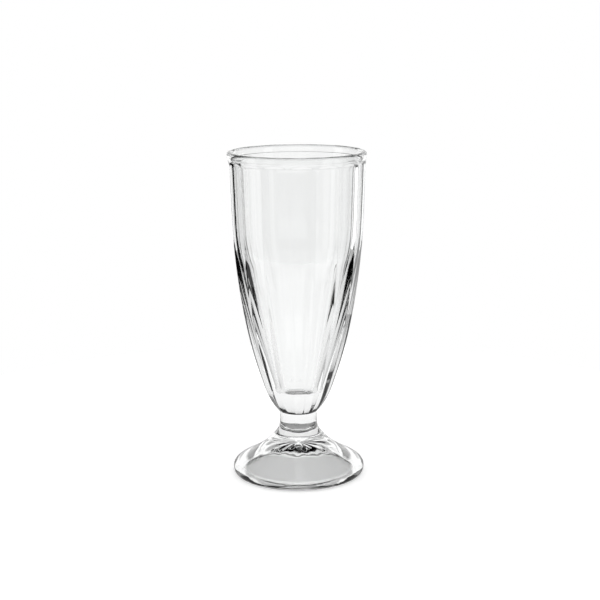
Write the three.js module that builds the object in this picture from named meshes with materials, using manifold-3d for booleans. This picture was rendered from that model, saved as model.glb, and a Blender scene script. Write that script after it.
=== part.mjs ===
// A tall footed soda glass in pressed clear glass: panelled bowl, short stem and flared foot.
// Millimetres, +Z up, origin on the axis at the level of the table.
import * as THREE from "three";
import { mergeVertices } from "three/addons/utils/BufferGeometryUtils.js";
import Module from "manifold-3d";

// Levels along the axis
const HEIGHT = 181;
const STEM_BASE_HEIGHT = 26;
const STEM_TOP_HEIGHT = 35.7;
const HEEL_HEIGHT = 58;
const BELLY_HEIGHT = 122;

// Rim bead
const RIM_RADIUS = 38;
const BEAD_WIDTH = 3.1;
const BEAD_CROWN = 2.2;
const BEAD_DROP = 2;
const BEAD_STEP = 0.5;

// Outside of the bowl, measured over the edges between panels, with the outward lean per unit of height
const PANEL_COUNT = 16;
const PLAIN_BAND = 0.4;
const ARCH_RISE = 2.2;
const TRIM_ALLOWANCE = 0.5;
const BOWL_BASE_LIP = 0.35;
const BOWL_BASE_LEAN = 0.9;
const HEEL_RADIUS = 21.7;
const HEEL_LEAN = 0.34;
const BELLY_RADIUS = 34.75;
const BELLY_LEAN = 0.11;
const BAND_LEAN = 0.03;

// Inside of the bowl: a small floor, a long cone, and a bend into the thin upper wall
const FLOOR_THICKNESS = 13.3;
const FLOOR_RADIUS = 6;
const FLOOR_ROUND = 4;
const CONE_FOOT_RADIUS = 9;
const CONE_FOOT_LEAN = 0.24;
const BELLY_WALL = 3.8;
const CONE_LEAN = 0.33;
const BEND_SHARE = 0.5;
const UPPER_WALL = 2.5;
const LIP_WALL = 2.3;

// Stem
const STEM_BASE_RADIUS = 10.9;
const STEM_WAIST_RADIUS = 10.35;
const STEM_TOP_RADIUS = 10.4;

// Foot
const FOOT_RADIUS = 36.7;
const FOOT_EDGE_HEIGHT = 4;
const FOOT_SHOULDER_WIDTH = 4.7;
const FOOT_SHOULDER_HEIGHT = 9;
const FOOT_SLOPE = 0.5;
const FOOT_FLARE_LEAN = 0.68;
const EDGE_ROUND = 3.9;
const REST_WIDTH = 1.6;

// Hollow under the foot: a flat crown on the axis that falls away to the resting ring
const DISH_DEPTH = 14;
const DISH_CROWN = 0.52;
const DISH_SLOPE = 0.65;

// Smoothness of the faceted surfaces
const BOWL_SIDES = PANEL_COUNT * 4;
const STEM_SIDES = 48;
const FOOT_SIDES = 64;
const FLANK_STEPS = 10;
const ROUND_STEPS = 5;

const wasm = await Module();
wasm.setup();

const point = (radius, height) => new THREE.Vector2(radius, height);

// One side of a turned form, from a lower to an upper station, each with its radius, height and lean.
function flankCurve(lower, upper) {
  const reach = (upper.height - lower.height) / 3;
  return new THREE.CubicBezierCurve(
    point(lower.radius, lower.height),
    point(lower.radius + lower.lean * reach, lower.height + reach),
    point(upper.radius - upper.lean * reach, upper.height - reach),
    point(upper.radius, upper.height),
  );
}

function flank(lower, upper, steps) {
  return flankCurve(lower, upper).getPoints(steps);
}

// Points of a rounded corner between two places on the profile.
function rounded(start, corner, end) {
  return new THREE.QuadraticBezierCurve(start, corner, end).getPoints(ROUND_STEPS);
}

// Joins runs of profile points and drops the point that two runs share.
function joined(...runs) {
  const all = runs.flat();
  return all.filter((p, i) => i === 0 || p.distanceTo(all[i - 1]) > 1e-6);
}

// A profile turned about the vertical axis. A side's middle or an edge can face the front, at -Y.
function turned(profile, sides, start = 0) {
  const geometry = new THREE.LatheGeometry(profile, sides, start);
  geometry.rotateX(Math.PI / 2);
  return geometry;
}

function solidOf(geometry) {
  geometry.deleteAttribute("normal");
  geometry.deleteAttribute("uv");
  const welded = mergeVertices(geometry);
  return new wasm.Manifold(
    new wasm.Mesh({
      numProp: 3,
      vertProperties: new Float32Array(welded.attributes.position.array),
      triVerts: new Uint32Array(welded.index.array),
    }),
  );
}

function geometryOf(solid) {
  const mesh = solid.getMesh();
  const geometry = new THREE.BufferGeometry();
  geometry.setAttribute("position", new THREE.BufferAttribute(mesh.vertProperties, 3));
  geometry.setIndex(new THREE.BufferAttribute(mesh.triVerts, 1));
  geometry.computeVertexNormals();
  return geometry;
}

function glassMesh(name, geometry) {
  const material = new THREE.MeshStandardMaterial({
    color: 0xf2f6f5,
    roughness: 0.03,
    metalness: 0,
    transparent: true,
    opacity: 0.35,
  });
  const mesh = new THREE.Mesh(geometry, material);
  mesh.name = name;
  return mesh;
}

// Levels and radii that follow from the driving sizes
const BEAD_MIDDLE_HEIGHT = HEIGHT - BEAD_CROWN;
const BAND_HEIGHT = BEAD_MIDDLE_HEIGHT - BEAD_DROP;
const BAND_RADIUS = RIM_RADIUS - BEAD_STEP;
const MOUTH_RADIUS = RIM_RADIUS - BEAD_WIDTH;
const ARCH_HEIGHT = BAND_HEIGHT - PLAIN_BAND;
const SHOULDER_HEIGHT = ARCH_HEIGHT - ARCH_RISE;
const FLOOR_HEIGHT = STEM_TOP_HEIGHT + FLOOR_THICKNESS;

const BOWL_BASE = {
  radius: STEM_TOP_RADIUS + BOWL_BASE_LIP,
  height: STEM_TOP_HEIGHT,
  lean: BOWL_BASE_LEAN,
};
const HEEL = { radius: HEEL_RADIUS, height: HEEL_HEIGHT, lean: HEEL_LEAN };
const BELLY = { radius: BELLY_RADIUS, height: BELLY_HEIGHT, lean: BELLY_LEAN };
const BAND = { radius: BAND_RADIUS, height: SHOULDER_HEIGHT, lean: BAND_LEAN };

// The edge line between two panels, from the stem up to the shoulder where the panels run out.
function panelEdge() {
  return joined(
    flank(BOWL_BASE, HEEL, ROUND_STEPS),
    flank(HEEL, BELLY, FLANK_STEPS),
    flank(BELLY, BAND, ROUND_STEPS),
  );
}

// Round inside of the bowl, from the middle of its floor up to the mouth.
function cavityProfile() {
  const floorEdge = point(FLOOR_RADIUS, FLOOR_HEIGHT);
  const floorCorner = point(CONE_FOOT_RADIUS - CONE_FOOT_LEAN * FLOOR_ROUND, FLOOR_HEIGHT);
  const coneFoot = {
    radius: CONE_FOOT_RADIUS,
    height: FLOOR_HEIGHT + FLOOR_ROUND,
    lean: CONE_FOOT_LEAN,
  };
  const belly = { radius: BELLY_RADIUS - BELLY_WALL, height: BELLY_HEIGHT, lean: CONE_LEAN };
  const lip = point(BAND_RADIUS - LIP_WALL, SHOULDER_HEIGHT);
  const outside = flankCurve(BELLY, BAND).getPoint(BEND_SHARE);
  const bendRadius = outside.x - UPPER_WALL;
  const upperLean = (lip.x - bendRadius) / (lip.y - outside.y);
  const bend = { radius: bendRadius, height: outside.y, lean: upperLean };
  return joined(
    [point(0, FLOOR_HEIGHT)],
    rounded(floorEdge, floorCorner, point(coneFoot.radius, coneFoot.height)),
    flank(coneFoot, belly, FLANK_STEPS),
    flank(belly, bend, ROUND_STEPS),
    [lip, point(MOUTH_RADIUS, BAND_HEIGHT)],
  );
}

// Rim bead from the inside of the mouth, over the crown and out to the band under it.
function beadProfile() {
  const crown = point(RIM_RADIUS - BEAD_WIDTH / 2, HEIGHT);
  const inner = point(MOUTH_RADIUS, BEAD_MIDDLE_HEIGHT);
  const outer = point(RIM_RADIUS, BEAD_MIDDLE_HEIGHT);
  return joined(
    rounded(inner, point(MOUTH_RADIUS, HEIGHT), crown),
    rounded(crown, point(RIM_RADIUS, HEIGHT), outer),
    rounded(outer, point(RIM_RADIUS, BAND_HEIGHT), point(BAND_RADIUS, BAND_HEIGHT)),
  );
}

// The bowl is turned round with spare thickness outside, then trimmed by a solid with flat sides.
// The trimming solid swings out under the bead, so each panel ends in an arch there.
function makeBowl() {
  const spare = panelEdge()
    .reverse()
    .map((p) => point(p.x + TRIM_ALLOWANCE, p.y));
  spare[0].x = BAND_RADIUS;
  const shell = joined(cavityProfile(), beadProfile(), spare, [point(0, STEM_TOP_HEIGHT)]);

  const cornerShare = 1 / Math.cos(Math.PI / PANEL_COUNT);
  const clearRadius = (RIM_RADIUS + TRIM_ALLOWANCE) * cornerShare;
  const runout = rounded(
    point(BAND_RADIUS, SHOULDER_HEIGHT),
    point(BAND_RADIUS, (SHOULDER_HEIGHT + ARCH_HEIGHT) / 2),
    point(BAND_RADIUS * cornerShare, ARCH_HEIGHT),
  );
  const above = HEIGHT + TRIM_ALLOWANCE;
  const below = STEM_TOP_HEIGHT - TRIM_ALLOWANCE;
  const trim = joined(
    [point(0, below), point(BOWL_BASE.radius, below)],
    panelEdge(),
    runout,
    [point(clearRadius, BAND_HEIGHT), point(clearRadius, above), point(0, above)],
  );
  const round = solidOf(turned(shell.reverse(), BOWL_SIDES));
  const panelled = solidOf(turned(trim, PANEL_COUNT, Math.PI / PANEL_COUNT));
  return glassMesh("bowl", geometryOf(round.intersect(panelled)));
}

function makeStem() {
  const waistHeight = (STEM_BASE_HEIGHT + STEM_TOP_HEIGHT) / 2;
  const side = new THREE.SplineCurve([
    point(STEM_BASE_RADIUS, STEM_BASE_HEIGHT),
    point(STEM_WAIST_RADIUS, waistHeight),
    point(STEM_TOP_RADIUS, STEM_TOP_HEIGHT),
  ]);
  const profile = joined(
    [point(0, STEM_BASE_HEIGHT)],
    side.getPoints(ROUND_STEPS),
    [point(0, STEM_TOP_HEIGHT)],
  );
  return glassMesh("stem", turned(profile, STEM_SIDES));
}

function makeFoot() {
  const restOuter = FOOT_RADIUS - EDGE_ROUND;
  const restInner = restOuter - REST_WIDTH;
  const shoulder = point(FOOT_RADIUS - FOOT_SHOULDER_WIDTH, FOOT_SHOULDER_HEIGHT);
  const edge = point(FOOT_RADIUS, FOOT_EDGE_HEIGHT);
  const edgeCorner = point(FOOT_RADIUS, FOOT_SHOULDER_HEIGHT - FOOT_SHOULDER_WIDTH * FOOT_SLOPE);
  const stemBase = point(STEM_BASE_RADIUS, STEM_BASE_HEIGHT);
  const reach = (STEM_BASE_HEIGHT - FOOT_SHOULDER_HEIGHT) / 2;
  const flare = new THREE.CubicBezierCurve(
    shoulder,
    point(shoulder.x - reach / FOOT_SLOPE / 2, shoulder.y + reach / 2),
    point(stemBase.x + FOOT_FLARE_LEAN * reach, stemBase.y - reach),
    stemBase,
  );
  const crownReach = restInner * DISH_CROWN;
  const dish = new THREE.CubicBezierCurve(
    point(0, DISH_DEPTH),
    point(crownReach, DISH_DEPTH),
    point(crownReach, (restInner - crownReach) * DISH_SLOPE),
    point(restInner, 0),
  );
  const profile = joined(
    dish.getPoints(FLANK_STEPS),
    rounded(point(restOuter, 0), point(FOOT_RADIUS, 0), edge),
    rounded(edge, edgeCorner, shoulder),
    flare.getPoints(FLANK_STEPS),
    [point(0, STEM_BASE_HEIGHT)],
  );
  return glassMesh("foot", turned(profile, FOOT_SIDES));
}

const sodaGlass = new THREE.Group();
sodaGlass.add(makeBowl(), makeStem(), makeFoot());

export default sodaGlass;
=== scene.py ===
"""A tall footed soda glass in clear pressed glass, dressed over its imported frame."""

import logging
import math
from dataclasses import dataclass, field
from enum import Enum

import bpy
from mathutils import Euler, Matrix, Vector, noise


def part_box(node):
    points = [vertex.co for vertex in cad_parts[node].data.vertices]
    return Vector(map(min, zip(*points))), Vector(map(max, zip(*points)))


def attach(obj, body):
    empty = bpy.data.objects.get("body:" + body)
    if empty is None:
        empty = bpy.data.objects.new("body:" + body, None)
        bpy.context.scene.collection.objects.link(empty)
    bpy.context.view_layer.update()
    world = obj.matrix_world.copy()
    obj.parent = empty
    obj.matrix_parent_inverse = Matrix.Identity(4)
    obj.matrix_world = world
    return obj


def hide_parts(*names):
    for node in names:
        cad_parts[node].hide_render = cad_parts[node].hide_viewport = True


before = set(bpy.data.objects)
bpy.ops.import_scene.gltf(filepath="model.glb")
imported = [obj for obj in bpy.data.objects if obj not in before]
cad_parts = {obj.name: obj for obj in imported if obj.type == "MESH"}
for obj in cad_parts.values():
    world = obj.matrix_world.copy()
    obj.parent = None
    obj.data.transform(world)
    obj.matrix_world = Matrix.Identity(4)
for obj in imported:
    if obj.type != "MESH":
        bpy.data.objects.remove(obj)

LOG = logging.getLogger("soda_glass")
MM = 0.001
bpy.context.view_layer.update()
BODY = "root"
HALF = 0.5
MIX_FIRST_COLOUR = 6
MIX_SECOND_COLOUR = 7
MIX_COLOUR_RESULT = 2
Colour = tuple[float, float, float, float]


class Surface(Enum):
    """Material slots that every glass member carries."""

    GLASS = 0
    SEAM = 1


@dataclass(frozen=True)
class Station:
    """One level of a turned form.

    Args:
        radius: Distance from the axis, in metres.
        height: Level above the table, in metres.
        lean: Outward run of the side per unit of height.
    """

    radius: float
    height: float
    lean: float = 0.0

    def place(self) -> Vector:
        """Returns the station's place in the profile plane."""
        return Vector((self.radius, self.height))


@dataclass
class Profile:
    """A half section of a turned form, drawn as one run of points from start to end."""

    points: list[Vector] = field(default_factory=list)

    def add(self, place: Vector) -> None:
        """Adds one point, unless the run already ends there."""
        if not self.points or (self.points[-1] - place).length > 1e-8:
            self.points.append(place.copy())

    def line(self, radius: float, height: float, steps: int = 1) -> "Profile":
        """Draws a straight stretch to a place.

        Args:
            radius: Radius of the end of the stretch.
            height: Height of the end of the stretch.
            steps: Number of points to lay along the stretch.

        Returns:
            The profile itself, for chaining.
        """
        end = Vector((radius, height))
        start = self.points[-1] if self.points else end
        for i in range(1, steps + 1):
            self.add(start.lerp(end, i / steps))
        return self

    def rounded(self, corner: Vector, end: Vector, steps: int) -> "Profile":
        """Draws a rounded corner from the run's end.

        Args:
            corner: Where the two sides would meet if the corner were sharp.
            end: Where the corner ends.
            steps: Number of points to lay along it.

        Returns:
            The profile itself, for chaining.
        """
        start = self.points[-1].copy()
        for i in range(1, steps + 1):
            t = i / steps
            self.add(start.lerp(corner, t).lerp(corner.lerp(end, t), t))
        return self

    def swept(self, first: Vector, second: Vector, end: Vector, steps: int) -> "Profile":
        """Draws a smooth sweep with two handles from the run's end.

        Args:
            first: Handle that leaves the start.
            second: Handle that reaches the end.
            end: Where the sweep ends.
            steps: Number of points to lay along it.

        Returns:
            The profile itself, for chaining.
        """
        start = self.points[-1].copy()
        for i in range(1, steps + 1):
            t = i / steps
            a = start.lerp(first, t)
            b = first.lerp(second, t)
            c = second.lerp(end, t)
            self.add(a.lerp(b, t).lerp(b.lerp(c, t), t))
        return self

    def flank(self, lower: Station, upper: Station, steps: int) -> "Profile":
        """Draws one side of a turned form between two stations.

        Args:
            lower: Station where the side starts.
            upper: Station where the side ends.
            steps: Number of points to lay along it.

        Returns:
            The profile itself, for chaining.
        """
        reach = (upper.height - lower.height) / 3
        self.add(lower.place())
        first = lower.place() + Vector((lower.lean, 1.0)) * reach
        second = upper.place() - Vector((upper.lean, 1.0)) * reach
        return self.swept(first, second, upper.place(), steps)

    def extend(self, others: list[Vector]) -> "Profile":
        """Appends points that another run holds."""
        for place in others:
            self.add(place)
        return self


class Bench:
    """Modelling steps that every glass member goes through, done with Blender's own operators."""

    @staticmethod
    def clear_selection() -> None:
        """Leaves object mode with nothing selected."""
        if bpy.context.object and bpy.context.object.mode != "OBJECT":
            bpy.ops.object.mode_set(mode="OBJECT")
        bpy.ops.object.select_all(action="DESELECT")

    @classmethod
    def spin(cls, name: str, profile: Profile, steps: int, turn: float = 0.0) -> bpy.types.Object:
        """Extrudes a profile point by point and spins it about the vertical axis.

        Args:
            name: Name of the new piece.
            profile: Half section to spin.
            steps: Number of sides of the turned form.
            turn: Angle of the first side edge from +X, in radians.

        Returns:
            The new mesh object, at the origin, with its doubles merged and its faces outwards.
        """
        cls.clear_selection()
        out = Vector((math.cos(turn), math.sin(turn), 0.0))
        up = Vector((0.0, 0.0, 1.0))
        places = [out * p.x + up * p.y for p in profile.points]
        bpy.ops.mesh.primitive_plane_add(size=MM, location=(0, 0, 0))
        piece = bpy.context.object
        piece.name = piece.data.name = name
        bpy.ops.object.mode_set(mode="EDIT")
        bpy.ops.mesh.select_all(action="SELECT")
        bpy.ops.mesh.merge(type="CENTER")
        bpy.ops.transform.translate(value=places[0])
        for start, end in zip(places, places[1:]):
            bpy.ops.mesh.extrude_vertices_move(TRANSFORM_OT_translate={"value": end - start})
        bpy.ops.object.mode_set(mode="OBJECT")
        turning = piece.modifiers.new("turning", "SCREW")
        turning.axis = "Z"
        turning.angle = math.tau
        turning.steps = turning.render_steps = steps
        turning.use_merge_vertices = True
        turning.merge_threshold = 1e-7
        cls.apply(piece, turning)
        bpy.ops.object.mode_set(mode="EDIT")
        bpy.ops.mesh.select_all(action="SELECT")
        bpy.ops.mesh.remove_doubles(threshold=1e-7)
        bpy.ops.mesh.normals_make_consistent(inside=False)
        bpy.ops.object.mode_set(mode="OBJECT")
        return piece

    @staticmethod
    def apply(piece: bpy.types.Object, modifier: bpy.types.Modifier) -> None:
        """Applies one modifier of a piece."""
        bpy.context.view_layer.objects.active = piece
        bpy.ops.object.modifier_apply(modifier=modifier.name)

    @classmethod
    def smooth(cls, piece: bpy.types.Object) -> None:
        """Shades a piece smooth and keeps its corners sharp."""
        cls.clear_selection()
        piece.select_set(True)
        bpy.context.view_layer.objects.active = piece
        bpy.ops.object.shade_smooth_by_angle(angle=math.radians(35))


@dataclass(frozen=True)
class ClearGlass:
    """Colourless soda-lime glass, fire polished, with the faint waves of a pressed surface.

    Args:
        ior: Refractive index.
        tint: Colour of the glass.
        roughness: Roughness of its surface.
        wave_scale: Waves per metre, about.
        wave_height: Depth of the waves.
        rim_shade_top: Top of a painted dark band round the rim, or 0 for none.
        rim_shade_depth: How far the painted shade reaches down from there.
        rim_shade_tint: Colour of the painted shade at the top of the rim.
    """

    ior: float = 1.52
    tint: Colour = (0.992, 0.997, 0.995, 1.0)
    roughness: float = 0.0
    wave_scale: float = 55.0
    wave_height: float = 0.02 * MM
    rim_shade_top: float = 0.0
    rim_shade_depth: float = 1.5 * MM
    rim_shade_tint: Colour = (0.36, 0.37, 0.37, 1.0)

    def material(self, name: str) -> bpy.types.Material:
        """Builds the glass.

        Args:
            name: Name of the material.

        Returns:
            A node material that refracts, with a slow bump for the pressed waves.
        """
        made = bpy.data.materials.new(name)
        made.use_nodes = True
        nodes, links = made.node_tree.nodes, made.node_tree.links
        shader = nodes["Principled BSDF"]
        shader.inputs["Base Color"].default_value = self.tint
        shader.inputs["Roughness"].default_value = self.roughness
        shader.inputs["IOR"].default_value = self.ior
        shader.inputs["Transmission Weight"].default_value = 1.0
        place = nodes.new("ShaderNodeTexCoord")
        waves = nodes.new("ShaderNodeTexNoise")
        waves.inputs["Scale"].default_value = self.wave_scale
        waves.inputs["Detail"].default_value = 1.0
        bump = nodes.new("ShaderNodeBump")
        bump.inputs["Distance"].default_value = self.wave_height
        links.new(place.outputs["Object"], waves.inputs["Vector"])
        links.new(waves.outputs["Fac"], bump.inputs["Height"])
        links.new(bump.outputs["Normal"], shader.inputs["Normal"])
        # Painted shade: a dark band in the glass colour at the top of the rim, when a top level for it
        # is given.
        if self.rim_shade_top:
            self.paint_rim_shade(made, place, shader)
        return made

    def paint_rim_shade(
        self, made: bpy.types.Material, place: bpy.types.Node, shader: bpy.types.Node
    ) -> None:
        """Paints shade into the lip: the glass colour darkens towards the top of the rim, a painted
        dark line that goes round it.

        Args:
            made: The glass to tone.
            place: Its texture coordinates.
            shader: Its shader.
        """
        nodes, links = made.node_tree.nodes, made.node_tree.links
        split = nodes.new("ShaderNodeSeparateXYZ")
        share = nodes.new("ShaderNodeMapRange")
        share.interpolation_type = "SMOOTHSTEP"
        share.inputs["From Min"].default_value = self.rim_shade_top - self.rim_shade_depth
        share.inputs["From Max"].default_value = self.rim_shade_top
        # Painted shade: the glass colour is mixed towards a dark tint near the top of the rim, to draw
        # the dark line round it.
        tone = nodes.new("ShaderNodeMix")
        tone.data_type = "RGBA"
        tone.inputs[MIX_FIRST_COLOUR].default_value = self.tint
        tone.inputs[MIX_SECOND_COLOUR].default_value = self.rim_shade_tint
        links.new(place.outputs["Object"], split.inputs[0])
        links.new(split.outputs["Z"], share.inputs["Value"])
        links.new(share.outputs["Result"], tone.inputs["Factor"])
        links.new(tone.outputs[MIX_COLOUR_RESULT], shader.inputs["Base Color"])


@dataclass(frozen=True)
class FusedSeam:
    """The flat disc where two members are fused hot, so that no surface is left between them."""

    colour: Colour = (1.0, 1.0, 1.0, 1.0)

    def material(self, name: str) -> bpy.types.Material:
        """Builds the seam.

        Args:
            name: Name of the material.

        Returns:
            A material that lets every ray pass.
        """
        made = bpy.data.materials.new(name)
        made.use_nodes = True
        nodes, links = made.node_tree.nodes, made.node_tree.links
        nodes.remove(nodes["Principled BSDF"])
        clear = nodes.new("ShaderNodeBsdfTransparent")
        clear.inputs["Color"].default_value = self.colour
        links.new(clear.outputs["BSDF"], nodes["Material Output"].inputs["Surface"])
        return made


@dataclass
class GlassMember:
    """What bowl, stem and foot share: a frame node, a material slot and the way they are dressed."""

    node: str
    slot: str

    def box(self) -> tuple[Vector, Vector]:
        """Returns the lowest and highest corner of the member's frame node."""
        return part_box(self.node)

    def dress(self, piece: bpy.types.Object, seams: list[Station], glass: ClearGlass) -> None:
        """Gives a piece its glass, and its fused seams on the flat discs.

        Args:
            piece: The finished mesh.
            seams: Flat discs that are fused to a neighbour, as radius and height.
            glass: Finish of the member.
        """
        piece.data.materials.clear()
        piece.data.materials.append(glass.material(self.slot))
        piece.data.materials.append(FusedSeam().material(self.slot + "_seam"))
        for face in piece.data.polygons:
            centre = face.center
            for seam in seams:
                level = abs(centre.z - seam.height) < 1e-6 and abs(face.normal.z) > 0.99
                if level and math.hypot(centre.x, centre.y) < seam.radius:
                    face.material_index = Surface.SEAM.value
        Bench.smooth(piece)

    def seat(self, piece: bpy.types.Object) -> None:
        """Puts a piece in the frame in place of its node."""
        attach(piece, BODY)
        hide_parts(self.node)
        LOG.info("%s: %d faces stand for %s", piece.name, len(piece.data.polygons), self.node)


@dataclass
class Bowl(GlassMember):
    """The tapered cup: flat panels outside, a smooth round cavity inside and a bead round the rim."""

    node: str = "bowl"
    slot: str = "bowl_glass"
    panels: int = 16
    sides: int = 320
    bead_width: float = 3.1 * MM
    bead_crown: float = 2.2 * MM
    bead_drop: float = 2.0 * MM
    bead_step: float = 0.5 * MM
    plain_band: float = 0.4 * MM
    arch_rise: float = 2.2 * MM
    base_lip: float = 0.35 * MM
    base_lean: float = 0.9
    heel: Station = Station(21.7 * MM, 58 * MM, 0.34)
    belly: Station = Station(34.75 * MM, 122 * MM, 0.11)
    band_lean: float = 0.03
    floor_thickness: float = 13.3 * MM
    floor_radius: float = 6 * MM
    floor_round: float = 4 * MM
    cone_foot_radius: float = 9 * MM
    cone_foot_lean: float = 0.24
    belly_wall: float = 3.8 * MM
    cone_lean: float = 0.33
    bend_share: float = 0.5
    upper_lean: float = 0.04
    lip_wall: float = 2.3 * MM
    spare: float = 0.05 * MM
    edge_softening: int = 2

    def __post_init__(self) -> None:
        """Reads the levels and radii that the frame gives."""
        low, high = self.box()
        stem_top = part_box("stem")[1]
        self.base_height = low.z
        self.height = high.z
        self.rim_radius = high.x
        self.stem_radius = Stem().top_radius
        self.bead_height = self.height - self.bead_crown
        self.band_height = self.bead_height - self.bead_drop
        self.arch_height = self.band_height - self.plain_band
        self.shoulder_height = self.arch_height - self.arch_rise
        self.band_radius = self.rim_radius - self.bead_step
        self.mouth_radius = self.rim_radius - self.bead_width
        LOG.info("bowl seats at %.1f mm on the stem at %.1f mm", low.z / MM, stem_top.z / MM)

    def panel_edge(self) -> Profile:
        """Returns the line of the edge between two panels, from the base up to the shoulder."""
        base = Station(self.stem_radius + self.base_lip, self.base_height, self.base_lean)
        band = Station(self.band_radius, self.shoulder_height, self.band_lean)
        edge = Profile()
        edge.flank(base, self.heel, 34)
        edge.flank(self.heel, self.belly, 56)
        edge.flank(self.belly, band, 40)
        return edge

    def cavity(self) -> Profile:
        """Returns the inside of the bowl: floor, long cone, bend and thin upper wall to the mouth."""
        floor = self.base_height + self.floor_thickness
        cone_foot = Station(self.cone_foot_radius, floor + self.floor_round, self.cone_foot_lean)
        belly = Station(self.belly.radius - self.belly_wall, self.belly.height, self.cone_lean)
        lip = Station(self.band_radius - self.lip_wall, self.shoulder_height, self.upper_lean)
        drop = (lip.height - belly.height) * self.bend_share
        bend = Station(lip.radius - self.upper_lean * drop, lip.height - drop, self.upper_lean)
        corner = Vector((cone_foot.radius - self.cone_foot_lean * self.floor_round, floor))
        inside = Profile()
        inside.add(Vector((0.0, floor)))
        inside.line(self.floor_radius, floor, 4)
        inside.rounded(corner, cone_foot.place(), 16)
        inside.flank(cone_foot, belly, 40)
        inside.flank(belly, bend, 24)
        inside.flank(bend, lip, 12)
        inside.line(self.mouth_radius, self.band_height, 4)
        inside.line(self.mouth_radius, self.bead_height, 4)
        return inside

    def blank(self) -> Profile:
        """Returns the whole half section of the bowl before its panels are pressed in."""
        crown = Vector((self.rim_radius - self.bead_width / 2, self.height))
        outer = Vector((self.rim_radius, self.bead_height))
        band = Vector((self.band_radius, self.band_height))
        section = self.cavity()
        section.rounded(Vector((self.mouth_radius, self.height)), crown, 10)
        section.rounded(Vector((self.rim_radius, self.height)), outer, 10)
        section.rounded(Vector((self.rim_radius, self.band_height)), band, 8)
        section.line(self.band_radius, self.shoulder_height, 16)
        outside = [Vector((p.x + self.spare, p.y)) for p in reversed(self.panel_edge().points)]
        section.extend(outside[1:])
        section.line(self.stem_radius, self.base_height)
        section.line(0.0, self.base_height)
        return section

    def panel_form(self) -> Profile:
        """Returns the half section of the sixteen-sided form that the panels are pressed against."""
        share = 1 / math.cos(math.pi / self.panels)
        form = Profile()
        form.add(Vector((0.0, self.base_height - self.bead_step)))
        form.line(self.stem_radius + self.base_lip, self.base_height - self.bead_step)
        form.extend(self.panel_edge().points)
        middle = (self.shoulder_height + self.arch_height) / 2
        end = Vector((self.band_radius * share, self.arch_height))
        form.rounded(Vector((self.band_radius, middle)), end, 14)
        clear = (self.rim_radius + self.bead_step) * share
        form.line(clear, self.band_height)
        form.line(clear, self.height + self.bead_step)
        form.line(0.0, self.height + self.bead_step)
        return form

    def is_outside(self, vertex: bpy.types.MeshVertex) -> bool:
        """Returns whether a vertex of the blank lies on the side that takes the panels."""
        place, normal = vertex.co, vertex.normal
        radius = math.hypot(place.x, place.y)
        facing = place.x * normal.x + place.y * normal.y > 0.1 * radius
        return facing and radius > self.stem_radius + 1e-6 and place.z < self.band_height - 1e-7

    def press_panels(self, piece: bpy.types.Object) -> None:
        """Presses the flat panels into the outside of a turned blank and softens their edges.

        Args:
            piece: The turned blank, changed in place.
        """
        half_panel = math.pi / self.panels
        form = Bench.spin("panel_form", self.panel_form(), self.panels, half_panel)
        outside = piece.vertex_groups.new(name="outside")
        chosen = [v.index for v in piece.data.vertices if self.is_outside(v)]
        outside.add(chosen, 1.0, "REPLACE")
        press = piece.modifiers.new("press", "SHRINKWRAP")
        press.target = form
        press.wrap_method = "PROJECT"
        press.use_negative_direction = True
        press.use_positive_direction = False
        press.project_limit = 2 * MM
        press.vertex_group = outside.name
        Bench.apply(piece, press)
        soften = piece.modifiers.new("soften", "SMOOTH")
        soften.factor = 0.5
        soften.iterations = self.edge_softening
        soften.vertex_group = outside.name
        Bench.apply(piece, soften)
        bpy.data.objects.remove(form)

    def build(self, glass: ClearGlass) -> bpy.types.Object:
        """Models and dresses the bowl.

        Args:
            glass: Finish of the bowl.

        Returns:
            The finished piece.
        """
        piece = Bench.spin("bowl_shell", self.blank(), self.sides)
        self.press_panels(piece)
        self.dress(piece, [Station(self.stem_radius, self.base_height)], glass)
        self.seat(piece)
        return piece


@dataclass
class Stem(GlassMember):
    """The short waisted neck between bowl and foot."""

    node: str = "stem"
    slot: str = "stem_glass"
    sides: int = 256
    base_radius: float = 10.9 * MM
    waist_radius: float = 10.35 * MM
    top_radius: float = 10.4 * MM

    def build(self, glass: ClearGlass) -> bpy.types.Object:
        """Models and dresses the stem.

        Args:
            glass: Finish of the stem.

        Returns:
            The finished piece.
        """
        low, high = self.box()
        middle = (low.z + high.z) / 2
        side = Profile()
        side.add(Vector((0.0, low.z)))
        side.line(self.base_radius, low.z)
        reach = 2 * self.waist_radius - (self.base_radius + self.top_radius) / 2
        side.rounded(Vector((reach, middle)), Vector((self.top_radius, high.z)), 24)
        side.line(0.0, high.z)
        piece = Bench.spin("stem_neck", side, self.sides)
        seams = [Station(self.base_radius, low.z), Station(self.top_radius, high.z)]
        self.dress(piece, seams, glass)
        self.seat(piece)
        return piece


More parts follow.
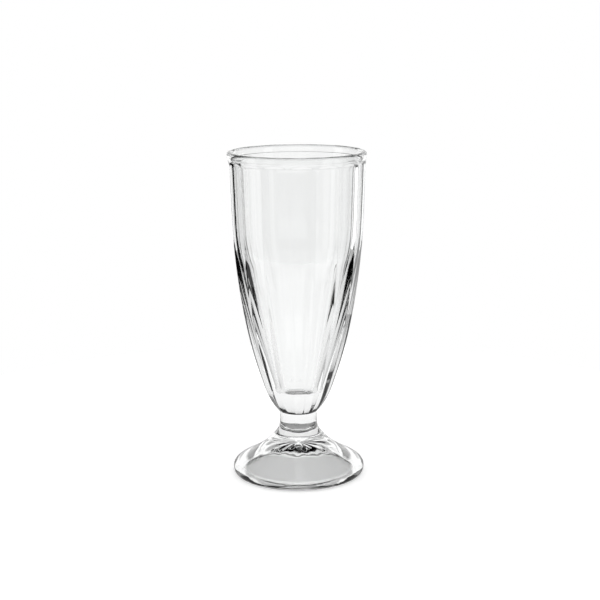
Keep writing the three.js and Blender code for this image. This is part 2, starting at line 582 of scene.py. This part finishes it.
@dataclass
class Foot(GlassMember):
    """The flared base with its rounded edge and dished underside."""

    node: str = "foot"
    slot: str = "foot_glass"
    sides: int = 256
    edge_height: float = 4 * MM
    shoulder_width: float = 4.7 * MM
    shoulder_height: float = 9 * MM
    slope: float = 0.5
    flare_lean: float = 0.68
    edge_round: float = 3.9 * MM
    rest_width: float = 1.6 * MM
    dish_depth: float = 14 * MM
    dish_crown: float = 0.52
    dish_slope: float = 0.65
    plunger_reach: float = 21 * MM
    plunger_middle: float = 3 * MM
    wave_length: float = 6.7 * MM
    wave_depth: float = 0.5 * MM
    ribs: int = 16
    rib_depth: float = 0.07 * MM

    def press_underside(self, piece: bpy.types.Object) -> None:
        """Leaves the waves and faint ribs of the plunger in the middle of the underside.

        Args:
            piece: The turned foot, changed in place.
        """
        for vertex in piece.data.vertices:
            place = vertex.co
            away = math.hypot(place.x, place.y)
            if away > self.plunger_reach or place.z > self.dish_depth + self.wave_depth:
                continue
            share = min(1.0, 2 - 2 * away / self.plunger_reach)
            share *= share * (3 - 2 * share)
            waves = self.wave_depth * noise.noise(place / self.wave_length)
            ribs = self.rib_depth * math.sin(self.ribs * math.atan2(place.y, place.x))
            vertex.co.z += share * (waves + ribs * min(1.0, away / self.plunger_middle))

    def build(self, glass: ClearGlass) -> bpy.types.Object:
        """Models and dresses the foot.

        Args:
            glass: Finish of the foot.

        Returns:
            The finished piece.
        """
        low, high = self.box()
        radius = high.x
        stem = Stem()
        rest_outer = radius - self.edge_round
        rest_inner = rest_outer - self.rest_width
        shoulder = Vector((radius - self.shoulder_width, self.shoulder_height))
        edge = Vector((radius, self.edge_height))
        corner = Vector((radius, self.shoulder_height - self.shoulder_width * self.slope))
        reach = (high.z - self.shoulder_height) / 2
        ring_reach = rest_inner * (1 - self.dish_crown)
        under = Profile()
        under.add(Vector((0.0, self.dish_depth)))
        under.swept(
            Vector((rest_inner * self.dish_crown, self.dish_depth)),
            Vector((rest_inner - ring_reach, ring_reach * self.dish_slope)),
            Vector((rest_inner, low.z)),
            56,
        )
        under.line(rest_outer, low.z, 2)
        under.rounded(Vector((radius, low.z)), edge, 16)
        under.rounded(corner, shoulder, 16)
        under.swept(
            shoulder + Vector((-1 / self.slope, 1.0)) * (reach / 2),
            Vector((stem.base_radius + self.flare_lean * reach, high.z - reach)),
            Vector((stem.base_radius, high.z)),
            48,
        )
        under.line(0.0, high.z)
        piece = Bench.spin("foot_base", under, self.sides)
        self.press_underside(piece)
        self.dress(piece, [Station(stem.base_radius, high.z)], glass)
        self.seat(piece)
        return piece


@dataclass(frozen=True)
class Softbox:
    """One lit panel of the studio, as the glass reflects it.

    Args:
        azimuth: Direction of its middle, in degrees from the front towards +X.
        elevation: Height of its middle above the horizon, in degrees.
        width: Half of its width, in degrees.
        height: Half of its height, in degrees.
        light: How much it adds to the room.
    """

    azimuth: float
    elevation: float
    width: float
    height: float
    light: float


@dataclass
class Studio:
    """Plain pale table in a white surround, and the dark room with softboxes that the glass reflects.

    Args:
        table_radius: Radius of the table.
        table_gap: How far the table lies under the glass.
        table_colour: Tone of the table.
        table_lift: Light that the table adds where the camera sees it.
        table_lift_through: Light that it adds where it is seen through glass.
        reflected_shade_start: Where the table's colour starts to be painted darker, as the glass
            reflects it.
        reflected_shade_end: Where the painted shade stops deepening.
        reflected_shade_keep: Share of the table's tone that the painted shade leaves there.
        dome_light: Strength of the white surround.
        room_light: Strength of the room between the softboxes.
        soft_edge: Width of the softboxes' edges, in degrees.
        softboxes: The lit panels.
    """

    table_radius: float = 0.3
    table_gap: float = 0.05 * MM
    table_colour: float = 0.86
    table_lift: float = 0.34
    table_lift_through: float = 0.18
    reflected_shade_start: float = 0.12
    reflected_shade_end: float = 0.24
    reflected_shade_keep: float = 0.4
    dome_light: float = 1.0
    room_light: float = 0.02
    soft_edge: float = 6.0
    softboxes: tuple[Softbox, ...] = (
        Softbox(176.0, -3.0, 36.0, 27.0, 1.1),
        Softbox(176.0, 34.5, 42.0, 10.5, 0.5),
        Softbox(-86.0, 5.0, 10.0, 35.0, 1.0),
        Softbox(48.0, 0.0, 9.0, 30.0, 0.8),
        Softbox(123.0, -12.5, 8.0, 12.5, 1.4),
        Softbox(0.0, 6.0, 30.0, 8.0, 0.9),
        Softbox(3.0, 70.0, 30.0, 20.0, 1.0),
    )

    def build(self) -> None:
        """Sets up the table and the world."""
        self.table()
        self.world()

    def table(self) -> None:
        """Lays the pale table under the glass."""
        Bench.clear_selection()
        bpy.ops.mesh.primitive_circle_add(
            vertices=128, radius=self.table_radius, fill_type="NGON", location=(0, 0, -self.table_gap)
        )
        table = bpy.context.object
        table.name = "table_top"
        made = bpy.data.materials.new("pale_table")
        made.use_nodes = True
        nodes, links = made.node_tree.nodes, made.node_tree.links
        nodes.remove(nodes["Principled BSDF"])
        paper = nodes.new("ShaderNodeBsdfDiffuse")
        place = nodes.new("ShaderNodeTexCoord")
        away = nodes.new("ShaderNodeVectorMath")
        away.operation = "LENGTH"
        # Painted shade: where the glass reflects the table, its colour darkens away from the glass, a
        # painted pool of light round the foot.
        far_shade = nodes.new("ShaderNodeMapRange")
        far_shade.inputs["From Min"].default_value = self.reflected_shade_start
        far_shade.inputs["From Max"].default_value = self.reflected_shade_end
        far_shade.inputs["To Min"].default_value = self.table_colour
        far_shade.inputs["To Max"].default_value = self.table_colour * self.reflected_shade_keep
        reflected = nodes.new("ShaderNodeMath")
        reflected.operation = "GREATER_THAN"
        reflected.inputs[1].default_value = HALF
        shade = nodes.new("ShaderNodeMix")
        shade.data_type = "FLOAT"
        shade.inputs["A"].default_value = self.table_colour
        glow = nodes.new("ShaderNodeEmission")
        rays = nodes.new("ShaderNodeLightPath")
        through = nodes.new("ShaderNodeMath")
        through.operation = "MULTIPLY"
        through.inputs[1].default_value = self.table_lift_through
        lift = nodes.new("ShaderNodeMath")
        lift.operation = "MULTIPLY_ADD"
        lift.inputs[1].default_value = self.table_lift
        both = nodes.new("ShaderNodeAddShader")
        links.new(place.outputs["Object"], away.inputs[0])
        links.new(away.outputs["Value"], far_shade.inputs["Value"])
        links.new(rays.outputs["Glossy Depth"], reflected.inputs[0])
        links.new(reflected.outputs[0], shade.inputs["Factor"])
        links.new(far_shade.outputs["Result"], shade.inputs["B"])
        links.new(shade.outputs["Result"], paper.inputs["Color"])
        links.new(rays.outputs["Is Transmission Ray"], through.inputs[0])
        links.new(rays.outputs["Is Camera Ray"], lift.inputs[0])
        links.new(through.outputs[0], lift.inputs[2])
        links.new(lift.outputs[0], glow.inputs["Strength"])
        links.new(paper.outputs["BSDF"], both.inputs[0])
        links.new(glow.outputs["Emission"], both.inputs[1])
        links.new(both.outputs["Shader"], nodes["Material Output"].inputs["Surface"])
        table.data.materials.append(made)

    def world(self) -> None:
        """Sets the white surround that the camera and the glass see, and the room that is reflected."""
        world = bpy.data.worlds.new("studio")
        bpy.context.scene.world = world
        world.use_nodes = True
        nodes, links = world.node_tree.nodes, world.node_tree.links
        back = nodes["Background"]
        back.inputs["Color"].default_value = (1, 1, 1, 1)
        rays = nodes.new("ShaderNodeLightPath")

        def maths(operation: str, *values: float | bpy.types.NodeSocket) -> bpy.types.NodeSocket:
            """Adds one Math node.

            Args:
                operation: What the node works out.
                values: Numbers or sockets that it works with.

            Returns:
                The socket of its result.
            """
            node = nodes.new("ShaderNodeMath")
            node.operation = operation
            for socket, value in zip(node.inputs, values):
                if isinstance(value, bpy.types.NodeSocket):
                    links.new(value, socket)
                else:
                    socket.default_value = value
            return node.outputs[0]

        place = nodes.new("ShaderNodeTexCoord")
        split = nodes.new("ShaderNodeSeparateXYZ")
        links.new(place.outputs["Generated"], split.inputs[0])
        turn = maths("ARCTAN2", split.outputs["X"], maths("MULTIPLY", split.outputs["Y"], -1.0))
        rise = maths("ARCSINE", split.outputs["Z"])
        strips = self.room_light
        edge = math.radians(self.soft_edge)
        for panel in self.softboxes:
            aside = maths("SUBTRACT", turn, math.radians(panel.azimuth))
            aside = maths("ABSOLUTE", maths("WRAP", aside, math.pi, -math.pi))
            above = maths("ABSOLUTE", maths("SUBTRACT", rise, math.radians(panel.elevation)))
            part = panel.light
            for off, half in ((aside, panel.width), (above, panel.height)):
                fade = nodes.new("ShaderNodeMapRange")
                fade.interpolation_type = "SMOOTHSTEP"
                fade.inputs["From Min"].default_value = math.radians(half) + edge / 2
                fade.inputs["From Max"].default_value = math.radians(half) - edge / 2
                links.new(off, fade.inputs["Value"])
                part = maths("MULTIPLY", fade.outputs["Result"], part)
            strips = maths("ADD", strips, part)
        direct = maths("SUBTRACT", 1.0, rays.outputs["Is Diffuse Ray"])
        bounced = maths("GREATER_THAN", rays.outputs["Glossy Depth"], HALF)
        reflected = maths("MULTIPLY", bounced, direct)
        strength = nodes.new("ShaderNodeMix")
        strength.data_type = "FLOAT"
        links.new(reflected, strength.inputs["Factor"])
        strength.inputs["A"].default_value = self.dome_light
        links.new(strips, strength.inputs["B"])
        links.new(strength.outputs["Result"], back.inputs["Strength"])


@dataclass(frozen=True)
class PhotoCamera:
    """The photograph's viewpoint, worked out from the rim's and the foot's ellipses."""

    distance: float = 0.754
    height: float = 0.2582
    azimuth: float = -3.75
    pitch: float = 11.95
    yaw: float = 0.0986
    roll: float = -0.36
    focal_pixels: float = 1395.0
    frame_pixels: float = 600.0
    sensor: float = 36.0

    def build(self) -> None:
        """Makes the camera and hands it to the scene."""
        data = bpy.data.cameras.new("photo_camera")
        data.sensor_width = self.sensor
        data.lens = self.sensor * self.focal_pixels / self.frame_pixels
        data.clip_start = 0.01
        camera = bpy.data.objects.new("photo_camera", data)
        bpy.context.scene.collection.objects.link(camera)
        around = math.radians(self.azimuth)
        place = Vector((math.sin(around), -math.cos(around), 0.0)) * self.distance
        place.z = self.height
        aim = Euler((math.radians(90 - self.pitch), 0.0, around - math.radians(self.yaw)))
        level = Matrix.Rotation(math.radians(self.roll), 3, "Z")
        camera.location = place
        camera.rotation_euler = (aim.to_matrix() @ level).to_euler()
        bpy.context.scene.camera = camera


def main() -> None:
    """Builds the glass member by member, then the studio and the camera."""
    logging.basicConfig(level=logging.INFO, format="%(name)s: %(message)s")
    neck_glass = ClearGlass(wave_scale=210.0, wave_height=0.16 * MM)
    foot_glass = ClearGlass(wave_scale=210.0, wave_height=0.06 * MM)
    bowl = Bowl()
    # The bowl's glass carries a painted dark band at the top of its rim.
    rim_shaded_glass = ClearGlass(rim_shade_top=bowl.height)
    members = ((Foot(), foot_glass), (Stem(), neck_glass), (bowl, rim_shaded_glass))
    for member, glass in members:
        piece = member.build(glass)
        LOG.info("%s rides on %s", piece.name, BODY)
    Studio().build()
    PhotoCamera().build()
    bpy.context.scene.view_settings.view_transform = "Standard"


if __name__ == "__main__":
    main()
